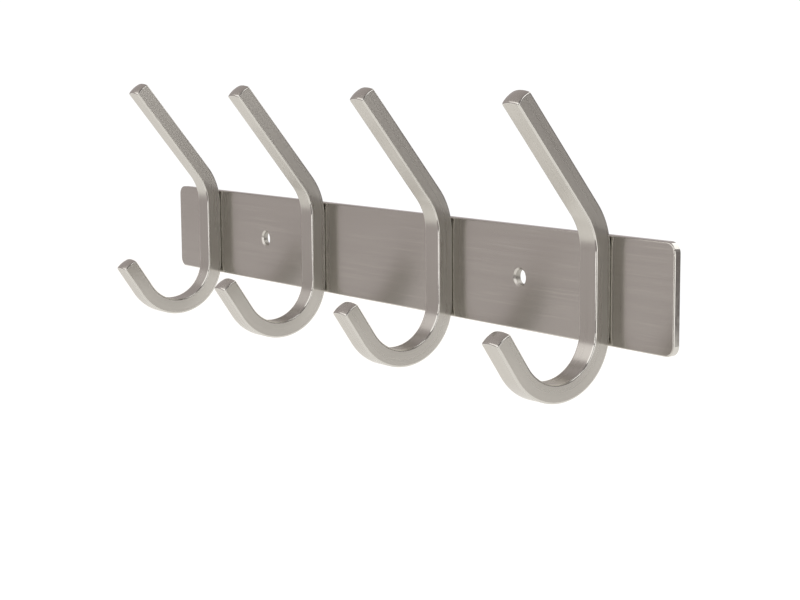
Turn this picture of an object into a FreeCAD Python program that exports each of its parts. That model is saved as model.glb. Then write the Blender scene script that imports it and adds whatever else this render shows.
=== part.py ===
"""Wall hook rail: a flat stainless steel plate that carries a row of double hooks.

Each hook is one length of flat bar, bent in two places: an arm that leans out at the top
and a cradle that curls up at the bottom. Between them its straight seat lies flat on the
plate, held from behind by two countersunk socket screws. The plate goes on a wall with two
screws of the user's own, through the holes midway between the two hooks at each end.

Millimetres. The origin is the centre of the plate's back face, which is the wall plane,
Y = 0. +Z is up, +X is to the right as seen from the front, and the hooks point to -Y.
"""
import FreeCAD, Part
import math
import os

from FreeCAD import Vector

# Plate
PLATE_HEIGHT = 40.0
PLATE_THICKNESS = 3.0
PLATE_CORNER_RADIUS = 4.0
PLATE_FRONT_ROUND = 0.6
PLATE_BACK_BREAK = 0.2
END_MARGIN = 36.0  # from the middle of an end hook to the end of the plate

# Row of hooks
HOOK_COUNT = 4
HOOK_PITCH = 92.0

# Bar that a hook is bent from. The radius of each bend is measured inside the bend.
BAR_WIDTH = 9.0
BAR_DEPTH = 7.0
BAR_EDGE_ROUND = 0.7
SEAT_LENGTH = 28.4
ARM_BEND_RADIUS = 21.0
ARM_LEAN = 38.5  # degrees from upright
ARM_STRAIGHT = 52.0
CRADLE_RADIUS = 16.75
CRADLE_TURN = 146.0  # degrees from the seat to the outer leg
CRADLE_STRAIGHT = 16.5
TIP_CROWN = 1.4  # how far the middle of a ground end stands past its corners
TIP_EDGE_ROUND = 0.5

# Holes for the wall screws
WALL_HOLE_DIAMETER = 6.0
WALL_HOLE_CHAMFER = 0.7

# M4 x 6 countersunk socket screws that hold the hooks, two to each
SCREW_SPACING = 18.0
SCREW_DIAMETER = 4.0
SCREW_LENGTH = 6.0
SCREW_HEAD_DIAMETER = 8.0
SCREW_HEAD_RIM = 0.3  # the straight rim above the head's 90 degree cone
SCREW_TIP_CHAMFER = 0.4
THREAD_PITCH = 0.7
THREAD_DEPTH = 0.4
SOCKET_ACROSS_FLATS = 2.5
SOCKET_DEPTH = 1.6

# Clearances
HEAD_BELOW_BACK = 0.15  # from the wall plane to the top of a screw's head
SHANK_CLEARANCE = 0.2  # round the screw where it passes through the plate
THREAD_CLEARANCE = 0.05  # between the screw's thread and the hook
TAPPED_HOLE_SPARE = 0.6  # past the screw's tip

# Worked out from the sizes above
PLATE_LENGTH = HOOK_PITCH * (HOOK_COUNT - 1) + 2 * END_MARGIN
PLATE_FRONT = -PLATE_THICKNESS
BAR_FRONT = PLATE_FRONT - BAR_DEPTH
SCREW_RADIUS = SCREW_DIAMETER / 2
HEAD_RADIUS = SCREW_HEAD_DIAMETER / 2
HEAD_TOP = -HEAD_BELOW_BACK
SCREW_TIP = HEAD_TOP - SCREW_LENGTH

SAME_PLACE = 1e-4  # two places closer than this are the same


def hook_places():
    """X of the middle of each hook, from left to right."""
    first = -HOOK_PITCH * (HOOK_COUNT - 1) / 2
    return [first + HOOK_PITCH * i for i in range(HOOK_COUNT)]


def wall_hole_places():
    """X of the wall holes: midway between the two hooks at each end."""
    places = hook_places()
    return [(places[0] + places[1]) / 2, (places[-2] + places[-1]) / 2]


def screw_heights():
    """Z of a hook's two screws, by name."""
    return {"upper": SCREW_SPACING / 2, "lower": -SCREW_SPACING / 2}


def turned(profile, x, z):
    """The solid that a closed list of (radius, y) sweeps about the line along Y at (x, z)."""
    points = [Vector(x + radius, y, z) for radius, y in profile]
    face = Part.Face(Part.makePolygon(points + points[:1]))
    return face.revolve(Vector(x, 0, z), Vector(0, 1, 0), 360)


def edges_on_plane(shape, y):
    """The edges that lie wholly in the plane at this Y."""
    boxes = [(edge, edge.BoundBox) for edge in shape.Edges]
    return [edge for edge, box in boxes if max(abs(box.YMin - y), abs(box.YMax - y)) < SAME_PLACE]


# Back plate


def plate_blank():
    """The plate before its holes: round corners, soft front edge, broken back edge."""
    corner = Vector(-PLATE_LENGTH / 2, PLATE_FRONT, -PLATE_HEIGHT / 2)
    blank = Part.makeBox(PLATE_LENGTH, PLATE_THICKNESS, PLATE_HEIGHT, corner)
    upright = [edge for edge in blank.Edges if edge.BoundBox.YLength > PLATE_THICKNESS / 2]
    blank = blank.makeFillet(PLATE_CORNER_RADIUS, upright)
    blank = blank.makeFillet(PLATE_FRONT_ROUND, edges_on_plane(blank, PLATE_FRONT))
    return blank.makeChamfer(PLATE_BACK_BREAK, edges_on_plane(blank, 0))


def wall_hole(x):
    """Cutter for a wall screw's hole, chamfered at the front."""
    radius = WALL_HOLE_DIAMETER / 2
    rim = radius + WALL_HOLE_CHAMFER
    neck = PLATE_FRONT + WALL_HOLE_CHAMFER
    return turned([(0, 0), (radius, 0), (radius, neck), (rim, PLATE_FRONT), (0, PLATE_FRONT)], x, 0)


def screw_hole(x, z):
    """Cutter for a hook screw's hole, whose cone is a continuation of the head's."""
    hole = SCREW_RADIUS + SHANK_CLEARANCE
    mouth = HEAD_RADIUS + SCREW_HEAD_RIM + HEAD_BELOW_BACK
    neck = hole - mouth
    return turned([(0, 0), (mouth, 0), (hole, neck), (hole, PLATE_FRONT), (0, PLATE_FRONT)], x, z)


def backplate():
    holes = [wall_hole(x) for x in wall_hole_places()]
    holes += [screw_hole(x, z) for x in hook_places() for z in screw_heights().values()]
    return plate_blank().cut(holes)


# Hooks


def arm_point(radius, turn, run=0.0):
    """A point on the arm: this far from its bend's centre, turned up by this many degrees
    from the seat, and then this far along the straight."""
    turn = math.radians(turn)
    y = BAR_FRONT - ARM_BEND_RADIUS + radius * math.cos(turn) - run * math.sin(turn)
    z = SEAT_LENGTH / 2 + radius * math.sin(turn) + run * math.cos(turn)
    return Vector(0, y, z)


def cradle_point(radius, turn, run=0.0):
    """A point on the cradle, found in the same way, with the turn going down and round."""
    turn = math.radians(turn)
    y = BAR_FRONT - CRADLE_RADIUS + radius * math.cos(turn) - run * math.sin(turn)
    z = -SEAT_LENGTH / 2 - radius * math.sin(turn) - run * math.cos(turn)
    return Vector(0, y, z)


def line_of_bar(depth):
    """The bent bar's line at this depth behind its front face, from cradle tip to arm tip."""
    cradle = CRADLE_RADIUS + depth
    arm = ARM_BEND_RADIUS + depth
    cradle_tip = cradle_point(cradle, CRADLE_TURN, CRADLE_STRAIGHT)
    arm_tip = arm_point(arm, ARM_LEAN, ARM_STRAIGHT)
    cradle_bend = [cradle_point(cradle, turn) for turn in (CRADLE_TURN, CRADLE_TURN / 2, 0)]
    arm_bend = [arm_point(arm, turn) for turn in (0, ARM_LEAN / 2, ARM_LEAN)]
    return [
        Part.LineSegment(cradle_tip, cradle_bend[0]),
        Part.Arc(*cradle_bend),
        Part.LineSegment(cradle_bend[-1], arm_bend[0]),
        Part.Arc(*arm_bend),
        Part.LineSegment(arm_bend[-1], arm_tip),
    ]


def bent_bar():
    """The bar with sharp edges and square ends, centred on X = 0."""
    front = line_of_bar(0)
    back = line_of_bar(BAR_DEPTH)
    ends = [
        Part.LineSegment(front[0].StartPoint, back[0].StartPoint),
        Part.LineSegment(front[-1].EndPoint, back[-1].EndPoint),
    ]
    edges = [curve.toShape() for curve in front + back + ends]
    side = Part.Face(Part.Wire(Part.__sortEdges__(edges)))
    side.translate(Vector(-BAR_WIDTH / 2, 0, 0))
    return side.extrude(Vector(BAR_WIDTH, 0, 0))


def crown_cutter(tip, along):
    """What is ground off an end, whose middle is at tip, to leave it a shallow dome."""
    corner = math.hypot(BAR_WIDTH, BAR_DEPTH) / 2
    radius = (corner**2 + TIP_CROWN**2) / (2 * TIP_CROWN)
    dome = Part.makeSphere(radius, tip - along * radius, along)
    sleeve = Part.makeCylinder(2 * corner, 3 * TIP_CROWN, tip - along * 2 * TIP_CROWN, along)
    return sleeve.cut(dome)


def crown_edges(bar):
    crowns = [face for face in bar.Faces if isinstance(face.Surface, Part.Sphere)]
    return [edge for crown in crowns for edge in crown.Edges]


def long_edges(bar):
    """The edges along the bar's two sides, without those of its crowned ends."""
    ends = crown_edges(bar)
    boxes = [(edge, edge.BoundBox) for edge in bar.Edges]
    sides = [edge for edge, box in boxes if box.XLength < SAME_PLACE]
    return [edge for edge in sides if not any(edge.isSame(other) for other in ends)]


def finished_bar():
    """The bent bar with both ends crowned and every edge softened."""
    bar = bent_bar()
    middle = BAR_DEPTH / 2
    ends = [
        (arm_point, ARM_BEND_RADIUS + middle, ARM_LEAN, ARM_STRAIGHT),
        (cradle_point, CRADLE_RADIUS + middle, CRADLE_TURN, CRADLE_STRAIGHT),
    ]
    for point, radius, turn, run in ends:
        tip = point(radius, turn, run)
        along = (tip - point(radius, turn)).normalize()
        bar = bar.cut(crown_cutter(tip, along))
    bar = bar.makeFillet(BAR_EDGE_ROUND, long_edges(bar))
    return bar.makeFillet(TIP_EDGE_ROUND, crown_edges(bar))


def hooks():
    """The hooks from left to right, each with two blind holes in the back of its seat."""
    bar = finished_bar()
    radius = SCREW_RADIUS + THREAD_CLEARANCE
    bottom = SCREW_TIP - TAPPED_HOLE_SPARE
    profile = [(0, PLATE_FRONT), (radius, PLATE_FRONT), (radius, bottom), (0, bottom - radius / 2)]
    hook = bar.cut([turned(profile, 0, z) for z in screw_heights().values()])
    return [hook.translated(Vector(x, 0, 0)) for x in hook_places()]


# Screws


def thread_profile(top):
    """(radius, y) down the thread from its top to where the tip's chamfer starts.

    Its turns are separate V-shaped rings, not a helix."""
    end = SCREW_TIP + SCREW_TIP_CHAMFER
    count = int((top - end) / THREAD_PITCH)
    crests = [top - THREAD_PITCH * i for i in range(count)]
    points = []
    for crest in crests:
        points += [(SCREW_RADIUS, crest), (SCREW_RADIUS, crest - THREAD_PITCH / 8)]
        points += [(SCREW_RADIUS - THREAD_DEPTH, crest - THREAD_PITCH / 2)]
    return points + [(SCREW_RADIUS, top - THREAD_PITCH * count), (SCREW_RADIUS, end)]


def screw():
    """A hook screw at X = 0, Z = 0, with its hexagonal socket towards the wall."""
    under_rim = HEAD_TOP - SCREW_HEAD_RIM
    under_head = under_rim - (HEAD_RADIUS - SCREW_RADIUS)
    outline = [(0, HEAD_TOP), (HEAD_RADIUS, HEAD_TOP), (HEAD_RADIUS, under_rim)]
    outline += thread_profile(under_head)
    outline += [(SCREW_RADIUS - SCREW_TIP_CHAMFER, SCREW_TIP), (0, SCREW_TIP)]
    corner = SOCKET_ACROSS_FLATS / math.sqrt(3)
    angles = [math.radians(60 * i) for i in range(7)]
    hexagon = [Vector(corner * math.cos(a), HEAD_TOP, corner * math.sin(a)) for a in angles]
    socket = Part.Face(Part.makePolygon(hexagon)).extrude(Vector(0, -SOCKET_DEPTH, 0))
    return turned(outline, 0, 0).cut(socket)


def parts():
    """Every piece by its name."""
    pieces = {"backplate": backplate()}
    blank_screw = screw()
    for number, (x, hook) in enumerate(zip(hook_places(), hooks()), 1):
        pieces[f"hook_{number}"] = hook
        for which, z in screw_heights().items():
            pieces[f"hook_{number}_{which}_screw"] = blank_screw.translated(Vector(x, 0, z))
    return pieces


os.makedirs("parts", exist_ok=True)
for name, shape in parts().items():
    shape.exportStep(f"parts/{name}.step")
    print(f"{name}: {shape.Volume:.1f} mm3, {len(shape.Solids)} solid, valid {shape.isValid()}")
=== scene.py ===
import math

import bmesh
import bpy
from mathutils import Matrix, Vector


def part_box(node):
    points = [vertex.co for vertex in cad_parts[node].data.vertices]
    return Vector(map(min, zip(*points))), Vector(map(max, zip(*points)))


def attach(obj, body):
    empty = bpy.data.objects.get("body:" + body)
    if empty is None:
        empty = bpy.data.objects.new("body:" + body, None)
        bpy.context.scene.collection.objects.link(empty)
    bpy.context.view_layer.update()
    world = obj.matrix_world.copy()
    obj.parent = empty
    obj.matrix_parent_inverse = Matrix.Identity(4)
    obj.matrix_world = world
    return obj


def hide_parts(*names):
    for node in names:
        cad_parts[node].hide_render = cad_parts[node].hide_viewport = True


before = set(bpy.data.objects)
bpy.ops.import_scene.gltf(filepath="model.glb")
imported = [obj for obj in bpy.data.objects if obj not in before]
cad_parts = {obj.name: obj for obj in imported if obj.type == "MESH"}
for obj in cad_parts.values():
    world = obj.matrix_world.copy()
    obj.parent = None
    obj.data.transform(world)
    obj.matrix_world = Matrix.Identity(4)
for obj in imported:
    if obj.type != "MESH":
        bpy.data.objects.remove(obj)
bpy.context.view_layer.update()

# A wall rail of brushed stainless steel with a row of double hooks, each bent from one
# length of flat bar. The CAD frame gives every place. These are the shop sizes that a
# frame's boxes don't show, in millimetres and degrees.
MM = 0.001
PLATE_CORNER_RADIUS = 4.0
PLATE_FRONT_ROUND = 0.6
PLATE_BACK_BREAK = 0.2
WALL_HOLE_RADIUS = 3.0
WALL_HOLE_CHAMFER = 0.7
SCREW_SPACING = 18.0
SCREW_HOLE_RADIUS = 2.2
COUNTERSINK_RADIUS = 4.45
COUNTERSINK_DEPTH = 3.0
SLIVER = 0.005  # narrower faces than this are left over from drilling
DRILL_OVER = 1.0  # how far a drill passes the faces it cuts
BAR_DEPTH = 7.0
BAR_EDGE_ROUND = 0.7
SEAT_LENGTH = 28.4
ARM_BEND_RADIUS = 21.0
ARM_LEAN = 38.5
ARM_STRAIGHT = 52.0
CRADLE_RADIUS = 16.75
CRADLE_TURN = 146.0
CRADLE_STRAIGHT = 16.5
TIP_CROWN = 1.4
TIP_EDGE_ROUND = 0.5
BAR_STRETCH = 400.0  # between the stretches of bar that two hooks are cut from

HOOKS = sorted(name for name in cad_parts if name.startswith("hook_") and "screw" not in name)
SCREWS = sorted(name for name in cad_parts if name.endswith("screw"))


def middle(node):
    """The middle of a CAD node's box, in millimetres."""
    low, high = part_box(node)
    return (low + high) / 2 / MM


def size(node):
    """How far a CAD node reaches along X, Y and Z, in millimetres."""
    low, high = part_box(node)
    return (high - low) / MM


PLATE_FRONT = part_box("backplate")[0].y / MM
PLATE_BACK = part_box("backplate")[1].y / MM
BAR_FRONT = PLATE_FRONT - BAR_DEPTH
BAR_WIDTH = size(HOOKS[0]).x


# ---------------------------------------------------------------- materials


def linear(hex_colour):
    """An sRGB hex colour as the linear RGBA that shaders take."""
    channels = [int(hex_colour[i : i + 2], 16) / 255 for i in (1, 3, 5)]
    return tuple(c / 12.92 if c <= 0.04045 else ((c + 0.055) / 1.055) ** 2.4 for c in channels) + (1.0,)


def node(material, kind, links=None, **settings):
    """Adds a node: settings go to its properties or inputs, links feed its inputs."""
    new = material.node_tree.nodes.new("ShaderNode" + kind)
    for key, value in settings.items():
        if hasattr(new, key):
            setattr(new, key, value)
        else:
            new.inputs[key.replace("_", " ")].default_value = value
    for key, source in (links or {}).items():
        material.node_tree.links.new(source, new.inputs[key])
    return new


def new_material(name):
    """An empty material and its output node."""
    material = bpy.data.materials.new(name)
    material.use_nodes = True
    material.node_tree.nodes.clear()
    return material, node(material, "OutputMaterial")


def brushed(name, place, grain, base, roughness, groove_mm, streak_mm):
    """Brushed stainless steel: long fine grooves along one direction.

    place gives the point in metres with the grooves along X, and grain is the direction of
    the grooves on the surface. They spread a reflection across themselves, so that light
    smears into a soft band, and each groove is a shade lighter or darker than the next."""
    material, output = new_material(name)
    where = place(material)
    grooves = stretched_noise(material, where, groove_mm, 150, 2.0)
    streaks = stretched_noise(material, where, streak_mm, 60, 2.0)
    scratches = stretched_noise(material, where, groove_mm, 60, 0.0)
    tone = spread_over(material, grooves, 0.985, 1.015)
    shade = spread_over(material, streaks, 0.985, 1.015)
    bright = spread_over(material, scratches, 1.0, 1.07, From_Min=0.69, From_Max=0.77)
    rough = spread_over(material, streaks, roughness - 0.01, roughness + 0.01)
    both = node(material, "Math", {0: tone, 1: shade}, operation="MULTIPLY")
    both = node(material, "Math", {0: both.outputs[0], 1: bright}, operation="MULTIPLY")
    steel = steel_rgb(material, base)
    colour = node(material, "VectorMath", {0: steel, 3: both.outputs[0]}, operation="SCALE")
    surface = {"Base Color": colour.outputs[0], "Roughness": rough, "Tangent": grain(material)}
    finish = {"Metallic": 1.0, "Anisotropic": 0.8, "Anisotropic_Rotation": 0.25}
    shader = node(material, "BsdfPrincipled", surface, **finish)
    material.node_tree.links.new(shader.outputs[0], output.inputs[0])
    return material


def stretched_noise(material, where, across_mm, stretch, detail):
    """Noise whose marks are this wide across the grooves and many times longer along them."""
    across = 1 / (across_mm * MM)
    laid = node(material, "Mapping", {"Vector": where}, Scale=(across / stretch, across, across))
    return node(material, "TexNoise", {"Vector": laid.outputs[0]}, Scale=1.0, Detail=detail).outputs[0]


def spread_over(material, noise, low, high, From_Min=0.3, From_Max=0.7):
    """Noise stretched to run from the low value to the high one, over most of its range."""
    reach = {"From_Min": From_Min, "From_Max": From_Max, "To_Min": low, "To_Max": high}
    return node(material, "MapRange", {"Value": noise}, **reach).outputs[0]


def steel_rgb(material, base):
    """The steel's colour as a vector that the groove pattern then shades."""
    rgb = linear(base)
    return node(material, "CombineXYZ", X=rgb[0], Y=rgb[1], Z=rgb[2]).outputs[0]


def on_object(material):
    """The point on the piece itself, with X along the rail."""
    return node(material, "TexCoord").outputs["Object"]


def along_x(material):
    """Grooves that run the length of the rail."""
    return node(material, "CombineXYZ", X=1.0).outputs[0]


def on_bar(material):
    """The point on the straight bar that a hook was bent from."""
    return node(material, "Attribute", attribute_name="bar_place").outputs["Vector"]


def along_run(material):
    """Grooves that follow the bar round its bends."""
    return node(material, "Attribute", attribute_name="bar_run").outputs["Vector"]


def plain_steel(name, base, roughness, mottle_mm):
    """Stainless steel with no direction to its finish, only a slight uneven polish."""
    material, output = new_material(name)
    where = on_object(material)
    cloud = node(material, "TexNoise", {"Vector": where}, Scale=1 / (mottle_mm * MM), Detail=3.0)
    rough = spread_over(material, cloud.outputs[0], roughness - 0.04, roughness + 0.04)
    steel = {"Base_Color": linear(base), "Metallic": 1.0}
    shader = node(material, "BsdfPrincipled", {"Roughness": rough}, **steel)
    material.node_tree.links.new(shader.outputs[0], output.inputs[0])
    return material


STEEL = "#C0BDB6"

# Real brushing leaves grooves of about a tenth of a millimetre. They are drawn 0.4 mm wide,
# because finer ones don't show.

# Flat bar, belt brushed lengthwise: a satin grey face whose reflections smear up and down,
# with a few faint straight streaks along the rail.
BRUSHED_PLATE = brushed("stainless_brushed_lengthwise", on_object, along_x, STEEL, 0.24, 0.4, 2.5)

# Hook bar, brushed along its length before it was bent: reflections smear across the bar, so
# each straight is one even tone and each bend rolls from light to dark.
BRUSHED_BAR = brushed("stainless_bar_brushed_along", on_bar, along_run, STEEL, 0.28, 0.4, 1.6)

# Bar ends, rounded on a grinding belt: an even, slightly cloudy sheen with no grain.
GROUND_END = plain_steel("stainless_ground_end", STEEL, 0.26, 1.5)

# Hole walls, left as the drill cut them: darker and duller than the faces.
DRILLED = plain_steel("stainless_drilled_hole", "#A5A29B", 0.4, 0.6)

# Edges, broken and buffed by hand: a thin, nearly mirror-bright line round each piece.
EDGE_STEEL = plain_steel("stainless_polished_edge", "#C6C4BE", 0.11, 3.0)

# Screws, turned and left bare: a plain soft shine.
SCREW_STEEL = plain_steel("stainless_turned_screw", STEEL, 0.28, 1.0)


# ---------------------------------------------------------------- modelling helpers


def new_piece(name):
    """Names the primitive that was just added and opens it for modelling."""
    piece = bpy.context.object
    piece.name = name
    piece.data.name = name
    bpy.ops.object.mode_set(mode="EDIT")
    return piece


def select_faces(piece, wanted):
    """Selects just the faces that the test picks."""
    bpy.ops.mesh.select_all(action="DESELECT")
    bpy.ops.mesh.select_mode(type="FACE")
    mesh = bmesh.from_edit_mesh(piece.data)
    for face in mesh.faces:
        if wanted(face):
            face.select_set(True)
    mesh.select_flush_mode()
    bmesh.update_edit_mesh(piece.data)


def select_edges(piece, wanted):
    """Selects just the edges that the test picks."""
    bpy.ops.mesh.select_all(action="DESELECT")
    bpy.ops.mesh.select_mode(type="EDGE")
    mesh = bmesh.from_edit_mesh(piece.data)
    mesh.normal_update()
    for edge in mesh.edges:
        if wanted(edge):
            edge.select_set(True)
    mesh.select_flush_mode()
    bmesh.update_edit_mesh(piece.data)


def round_edges(radius, segments):
    bpy.ops.mesh.bevel(
        offset_type="OFFSET", offset=radius * MM, segments=segments, affect="EDGES", clamp_overlap=False
    )


def finish_mesh(piece, smooth_angle=40):
    """Closes edit mode and shades the rounds smooth while the flats stay flat."""
    bpy.ops.object.mode_set(mode="OBJECT")
    bpy.ops.object.select_all(action="DESELECT")
    piece.select_set(True)
    bpy.context.view_layer.objects.active = piece
    bpy.ops.object.transform_apply(location=True, rotation=True, scale=True)
    bpy.ops.object.shade_smooth_by_angle(angle=math.radians(smooth_angle))
    weighted = piece.modifiers.new("weighted_normals", "WEIGHTED_NORMAL")
    weighted.keep_sharp = True
    weighted.weight = 100
    bpy.ops.object.modifier_apply(modifier=weighted.name)
    piece.select_set(False)


# ---------------------------------------------------------------- the bent bar

ARM_CENTRE = Vector((0, BAR_FRONT - ARM_BEND_RADIUS, SEAT_LENGTH / 2))
CRADLE_CENTRE = Vector((0, BAR_FRONT - CRADLE_RADIUS, -SEAT_LENGTH / 2))
LEAN = math.radians(ARM_LEAN)
TURN = math.radians(CRADLE_TURN)
ARM_ALONG = Vector((0, -math.sin(LEAN), math.cos(LEAN)))
CRADLE_ALONG = Vector((0, -math.sin(TURN), -math.cos(TURN)))
HALF_DEPTH = BAR_DEPTH / 2

ARM_TIP = ARM_CENTRE + Vector((0, math.cos(LEAN), math.sin(LEAN))) * (ARM_BEND_RADIUS + HALF_DEPTH)
ARM_TIP = ARM_TIP + ARM_ALONG * ARM_STRAIGHT
CRADLE_TIP = CRADLE_CENTRE + Vector((0, math.cos(TURN), -math.sin(TURN))) * (CRADLE_RADIUS + HALF_DEPTH)
CRADLE_TIP = CRADLE_TIP + CRADLE_ALONG * CRADLE_STRAIGHT
TIPS = ((ARM_TIP, ARM_ALONG), (CRADLE_TIP, CRADLE_ALONG))


def along_bar(point):
    """Where a point of the bent bar was on the straight one, and which way the bar runs.

    The place is (distance along from the middle of the seat, X, depth behind the front
    face), all in millimetres. Distances are taken on the bar's middle line."""
    upper = point.z > 0
    centre = ARM_CENTRE if upper else CRADLE_CENTRE
    sign = 1 if upper else -1
    radius = ARM_BEND_RADIUS if upper else CRADLE_RADIUS
    limit = LEAN if upper else TURN
    away = point - centre
    angle = math.atan2(sign * away.z, away.y)
    if angle < -math.pi / 2:
        angle += 2 * math.pi
    half_seat = SEAT_LENGTH / 2
    turned = min(max(angle, 0), limit)
    arc = (radius + HALF_DEPTH) * turned
    direction = Vector((0, -math.sin(turned), sign * math.cos(turned)))
    outward = Vector((0, math.cos(turned), sign * math.sin(turned)))
    run = 0.0
    if turned == limit:
        run = away.dot(direction)
    if sign * point.z < half_seat and turned == 0:
        distance = abs(point.z)
    else:
        distance = half_seat + arc + run
    depth = away.dot(outward) - radius
    return Vector((sign * distance, point.x, depth)), sign * direction


def crown_drop(point, tip):
    """How far a point of a ground end lies below the middle of its crown."""
    corner = math.hypot(BAR_WIDTH, BAR_DEPTH) / 2
    radius = (corner**2 + TIP_CROWN**2) / (2 * TIP_CROWN)
    return radius - math.sqrt(radius**2 - (point - tip).length_squared)


def crown_end(piece, tip, along):
    """Divides the end face into a grid and settles it to a shallow dome."""
    select_faces(piece, lambda face: (face.calc_center_median() / MM - tip).length < HALF_DEPTH)
    bpy.ops.mesh.subdivide(number_cuts=7)
    mesh = bmesh.from_edit_mesh(piece.data)
    for vertex in mesh.verts:
        if vertex.select:
            vertex.co -= along * crown_drop(vertex.co / MM, tip) * MM
    bmesh.update_edit_mesh(piece.data)


def runs_along_a_corner(edge):
    """True for the bar's four long edges."""
    (_, x1, depth1), (_, x2, depth2) = (along_bar(vertex.co / MM)[0] for vertex in edge.verts)
    near = 0.05
    at_side = abs(abs(x1) - BAR_WIDTH / 2) < near and abs(x1 - x2) < near
    at_face = abs(abs(depth1 - HALF_DEPTH) - HALF_DEPTH) < near and abs(depth1 - depth2) < near
    return at_side and at_face


def faces_out_at_tip(place, normal, least, most=math.inf):
    """True for a face near either tip that looks out of the bar's end.

    The limits are on the cosine of its angle to the bar: 1 looks straight out, 0 sideways."""
    for tip, along in TIPS:
        if (place / MM - tip).length < BAR_WIDTH and least < normal.dot(along) < most:
            return True
    return False


def rims_a_crown(edge):
    """True for the edges between a ground end and the bar's sides."""
    faces = edge.link_faces
    return sum(faces_out_at_tip(face.calc_center_median(), face.normal, 0.75) for face in faces) == 1


def hook_bar():
    """One hook at X = 0: a block the size of the seat, carried up and down as the bar."""
    seat_middle = Vector((0, BAR_FRONT + HALF_DEPTH, 0))
    bpy.ops.object.select_all(action="DESELECT")
    bpy.ops.mesh.primitive_cube_add(size=1, location=seat_middle * MM, scale=(1, 1, 1))
    piece = new_piece("hook_bar")
    bpy.ops.transform.resize(value=(BAR_WIDTH * MM, BAR_DEPTH * MM, SEAT_LENGTH * MM))
    bpy.ops.object.mode_set(mode="OBJECT")
    bpy.ops.object.transform_apply(location=True, rotation=True, scale=True)
    bpy.ops.object.mode_set(mode="EDIT")
    for up, centre, turn, steps, along, straight in (
        (1, ARM_CENTRE, LEAN, 20, ARM_ALONG, ARM_STRAIGHT),
        (-1, CRADLE_CENTRE, TURN, 72, CRADLE_ALONG, CRADLE_STRAIGHT),
    ):
        select_faces(piece, lambda face: face.normal.z * up > 0.9)
        bpy.ops.mesh.spin(steps=steps, angle=-turn * up, center=centre * MM, axis=(1, 0, 0))
        bpy.ops.mesh.extrude_region_move(TRANSFORM_OT_translate={"value": along * straight * MM})
        outward = Vector((0, math.cos(turn), up * math.sin(turn)))
        arc_end = centre + outward * ((ARM_BEND_RADIUS if up > 0 else CRADLE_RADIUS) + HALF_DEPTH)
        crown_end(piece, arc_end + along * straight, along)
    select_edges(piece, runs_along_a_corner)
    round_edges(BAR_EDGE_ROUND, 5)
    select_edges(piece, rims_a_crown)
    round_edges(TIP_EDGE_ROUND, 4)
    finish_mesh(piece)
    return piece


def lay_grain(hook, number):
    """Stores how the hook was brushed: its place on the straight bar and the bar's run.

    The hooks are cut from different stretches of bar, so no two share their marks."""
    place = hook.data.attributes.new("bar_place", "FLOAT_VECTOR", "POINT")
    run = hook.data.attributes.new("bar_run", "FLOAT_VECTOR", "POINT")
    stretch = Vector((BAR_STRETCH * number, 0, 0))
    for index, vertex in enumerate(hook.data.vertices):
        where, direction = along_bar(vertex.co / MM)
        place.data[index].vector = (where + stretch) * MM
        run.data[index].vector = direction


def hooks():
    """A hook in the place of each CAD hook."""
    pattern = hook_bar()
    for number, node in enumerate(HOOKS):
        hook = pattern.copy()
        hook.data = pattern.data.copy()
        hook.name = hook.data.name = f"bent_{node}"
        bpy.context.scene.collection.objects.link(hook)
        lay_grain(hook, number)
        for steel in (BRUSHED_BAR, GROUND_END, EDGE_STEEL):
            hook.data.materials.append(steel)
        for face in hook.data.polygons:
            face.material_index = hook_finish(face)
        hook.data.transform(Matrix.Translation((middle(node).x * MM, 0, 0)))
        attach(hook, "root")
        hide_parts(node)
    bpy.data.objects.remove(pattern)


def hook_finish(face):
    """Which of a hook's materials a face has: 0 brushed, 1 ground end, 2 polished edge."""
    if faces_out_at_tip(face.center, face.normal, 0.86):
        return 1
    tip_round = faces_out_at_tip(face.center, face.normal, 0.1, 0.9)
    return 2 if tip_round or on_rounded_edge(face) else 0


def on_rounded_edge(face):
    """True for the faces of the rounds along the bar's four corners."""
    _, x, depth = along_bar(face.center / MM)[0]
    at_side = abs(x) > BAR_WIDTH / 2 - BAR_EDGE_ROUND
    return at_side and abs(depth - HALF_DEPTH) > HALF_DEPTH - BAR_EDGE_ROUND


# ---------------------------------------------------------------- the plate


def round_bar(name, radius, radius_end, y_start, y_end, x, z):
    """A turned cutter along Y, in millimetres, whose radius may taper."""
    bpy.ops.object.select_all(action="DESELECT")
    bpy.ops.mesh.primitive_cone_add(
        vertices=64,
        radius1=radius * MM,
        radius2=radius_end * MM,
        depth=abs(y_end - y_start) * MM,
        location=(x * MM, (y_start + y_end) / 2 * MM, z * MM),
        rotation=(math.radians(-90), 0, 0),
    )
    cutter = bpy.context.object
    cutter.name = name
    return cutter


def drill(radius, x, z):
    """A cutter for a straight hole through the plate."""
    start, end = PLATE_FRONT - DRILL_OVER, PLATE_BACK + DRILL_OVER
    return round_bar("drill", radius, radius, start, end, x, z)


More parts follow.
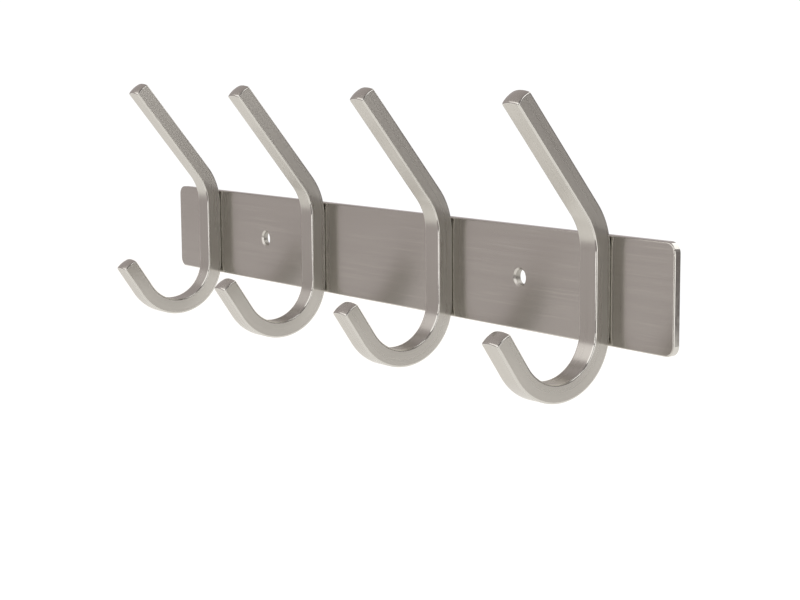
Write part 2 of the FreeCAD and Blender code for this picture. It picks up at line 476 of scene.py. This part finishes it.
def plate_cutters():
    """Cutters for the holes: a shank and a cone for each, as a drill and countersink."""
    hook_x = [middle(node).x for node in HOOKS]
    wall_x = ((hook_x[0] + hook_x[1]) / 2, (hook_x[-2] + hook_x[-1]) / 2)
    cutters = []
    for x in wall_x:
        start, end = PLATE_FRONT - DRILL_OVER, PLATE_FRONT + WALL_HOLE_CHAMFER + DRILL_OVER
        widest = WALL_HOLE_RADIUS + WALL_HOLE_CHAMFER + DRILL_OVER
        cutters.append(drill(WALL_HOLE_RADIUS, x, 0))
        cutters.append(round_bar("chamfer", widest, widest - (end - start), start, end, x, 0))
    for x in hook_x:
        for z in (SCREW_SPACING / 2, -SCREW_SPACING / 2):
            start, end = PLATE_BACK - COUNTERSINK_DEPTH, PLATE_BACK + DRILL_OVER
            widest = COUNTERSINK_RADIUS + DRILL_OVER
            cutters.append(drill(SCREW_HOLE_RADIUS, x, z))
            cutters.append(round_bar("sink", widest - (end - start), widest, start, end, x, z))
    return cutters


def lies_at(edge, y):
    """True for an edge that lies in the plane at this Y, in millimetres."""
    return all(abs(vertex.co.y / MM - y) < 0.01 for vertex in edge.verts)


def clear_slivers(piece):
    """Removes the slivers left where a cone and its drill's hole meet at the same points."""
    bpy.context.view_layer.objects.active = piece
    bpy.ops.object.mode_set(mode="EDIT")
    bpy.ops.mesh.select_all(action="SELECT")
    bpy.ops.mesh.remove_doubles(threshold=SLIVER * MM)
    bpy.ops.mesh.dissolve_degenerate(threshold=SLIVER * MM)
    bpy.ops.object.mode_set(mode="OBJECT")


def plate():
    """The flat plate: round corners, soft front edge, broken back edge, drilled holes."""
    bpy.ops.object.select_all(action="DESELECT")
    bpy.ops.mesh.primitive_cube_add(size=1, location=middle("backplate") * MM)
    piece = new_piece("brushed_backplate")
    bpy.ops.transform.resize(value=size("backplate") * MM)
    bpy.ops.object.mode_set(mode="OBJECT")
    bpy.ops.object.transform_apply(location=True, rotation=True, scale=True)
    bpy.ops.object.mode_set(mode="EDIT")
    select_edges(piece, lambda edge: abs((edge.verts[0].co - edge.verts[1].co).normalized().y) > 0.9)
    round_edges(PLATE_CORNER_RADIUS, 16)
    select_edges(piece, lambda edge: lies_at(edge, PLATE_FRONT))
    round_edges(PLATE_FRONT_ROUND, 4)
    select_edges(piece, lambda edge: lies_at(edge, PLATE_BACK))
    round_edges(PLATE_BACK_BREAK, 1)
    bpy.ops.object.mode_set(mode="OBJECT")
    cutters = plate_cutters()
    for cutter in cutters:
        cut = piece.modifiers.new("drill", "BOOLEAN")
        cut.operation = "DIFFERENCE"
        cut.solver = "EXACT"
        cut.object = cutter
        bpy.context.view_layer.objects.active = piece
        bpy.ops.object.modifier_apply(modifier=cut.name)
        bpy.data.objects.remove(cutter)
    clear_slivers(piece)
    finish_mesh(piece)
    piece.data.materials.clear()
    for steel in (BRUSHED_PLATE, EDGE_STEEL, DRILLED):
        piece.data.materials.append(steel)
    half_length, _, half_height = size("backplate") / 2
    for face in piece.data.polygons:
        x, _, z = face.center / MM
        at_rim = abs(x) > half_length - PLATE_CORNER_RADIUS or abs(z) > half_height - PLATE_CORNER_RADIUS
        if abs(face.normal.y) < 0.3:
            face.material_index = 1 if at_rim else 2
    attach(piece, "root")
    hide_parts("backplate")
    return piece


def screws():
    """The CAD screws keep their shape and get a turned finish."""
    for name in SCREWS:
        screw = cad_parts[name]
        for slot in screw.material_slots:
            slot.material = SCREW_STEEL


# ---------------------------------------------------------------- room, light and camera

TABLE_DROP = 300.0
TABLE_WIDTH = 6000.0
TABLE_FRONT = -600.0
TABLE_BACK = 1180.0
LEFT_WALL = 0.54
RIGHT_WALL = 0.24


def floor():
    """A plain pale floor, well below the rail: the white acrylic top of a light table."""
    bpy.ops.object.select_all(action="DESELECT")
    middle_y = (TABLE_FRONT + TABLE_BACK) / 2
    bpy.ops.mesh.primitive_plane_add(size=1, location=(0, middle_y * MM, -TABLE_DROP * MM))
    piece = bpy.context.object
    piece.name = "pale_floor"
    piece.scale = (TABLE_WIDTH * MM, (TABLE_BACK - TABLE_FRONT) * MM, 1)
    bpy.ops.object.transform_apply(location=False, rotation=False, scale=True)
    material, output = new_material("white_acrylic_lit_from_below")
    # Cast acrylic, sanded matt: an even white glow with no reflections in it.
    cloud = node(material, "TexNoise", {"Vector": on_object(material)}, Scale=6.0, Detail=2.0)
    rough = node(material, "MapRange", {"Value": cloud.outputs[0]}, To_Min=0.75, To_Max=0.85)
    shader = node(
        material,
        "BsdfPrincipled",
        {"Roughness": rough.outputs[0]},
        Base_Color=linear("#808080"),
        Emission_Color=linear("#FFFDFA"),
        Emission_Strength=0.95,
    )
    material.node_tree.links.new(shader.outputs[0], output.inputs[0])
    piece.data.materials.append(material)


def room():
    """A white backdrop to the eye. In the steel, a room that is lit on the left, dim on the right."""
    world = bpy.data.worlds.new("studio")
    bpy.context.scene.world = world
    world.use_nodes = True
    world.node_tree.nodes.clear()
    output = node(world, "OutputWorld")
    way = node(world, "SeparateXYZ", {0: node(world, "TexCoord").outputs["Generated"]})
    walls = spread_over(world, way.outputs[0], LEFT_WALL, RIGHT_WALL, From_Min=-0.6, From_Max=0.6)
    dim = node(world, "Background", {"Strength": walls}, Color=linear("#FFF5F5"))
    seen = node(world, "Background", Color=(1, 1, 1, 1), Strength=1.05)
    ray = node(world, "LightPath")
    either = {0: ray.outputs["Is Camera Ray"], 1: dim.outputs[0], 2: seen.outputs[0]}
    mix = node(world, "MixShader", either)
    world.node_tree.links.new(mix.outputs[0], output.inputs[0])


def softbox(name, pan, tilt, distance, width, height, brightness):
    """A rectangular softbox that faces the rail from this far away, in metres.

    pan is in degrees from straight ahead of the rail towards its right end, tilt is up."""
    pan, tilt = math.radians(pan), math.radians(tilt)
    out = math.cos(tilt)
    place = Vector((math.sin(pan) * out, -math.cos(pan) * out, math.sin(tilt))) * distance
    light = bpy.data.lights.new(name, "AREA")
    light.shape = "RECTANGLE"
    light.size = width
    light.size_y = height
    light.energy = brightness * math.pi * width * height
    box = bpy.data.objects.new(name, light)
    box.location = place
    box.rotation_euler = (-place).to_track_quat("-Z", "Y").to_euler()
    box.visible_camera = False
    bpy.context.scene.collection.objects.link(box)


def lights():
    """Soft light from the front, the right and above, with a dark gap low at the back right."""
    softbox("front_softbox", 0, 36, 1.8, 3.6, 1.3, 1.2)
    softbox("low_front_softbox", 12, 2, 1.7, 1.4, 0.6, 1.8)
    softbox("right_softbox", 92, 4, 1.7, 1.3, 0.8, 1.25)
    softbox("right_back_softbox", 138, 20, 1.7, 1.0, 0.7, 0.1)
    softbox("upper_right_softbox", 102, 46, 1.8, 0.8, 0.8, 1.7)
    softbox("back_softbox", 165, 38, 1.7, 1.6, 1.2, 1.5)


CAMERA_PLACE = (586.3, -416.5, 82.3)
CAMERA_PAN = 54.13
CAMERA_TILT = 8.03
CAMERA_ROLL = -0.39
CAMERA_LENS = 76.8


def camera():
    """Stands at the front right and a little above, looking along the row of hooks."""
    data = bpy.data.cameras.new("camera")
    data.lens = CAMERA_LENS
    data.sensor_width = 36
    data.clip_start = 0.01
    data.clip_end = 50
    stand = bpy.data.objects.new("camera", data)
    bpy.context.scene.collection.objects.link(stand)
    turn = Matrix.Rotation(math.radians(CAMERA_PAN), 4, "Z")
    tip = Matrix.Rotation(math.radians(90 - CAMERA_TILT), 4, "X")
    level = Matrix.Rotation(math.radians(CAMERA_ROLL), 4, "Z")
    stand.matrix_world = Matrix.Translation(Vector(CAMERA_PLACE) * MM) @ turn @ tip @ level
    bpy.context.scene.camera = stand


hooks()
plate()
screws()
floor()
room()
lights()
camera()
bpy.context.scene.view_settings.view_transform = "Standard"
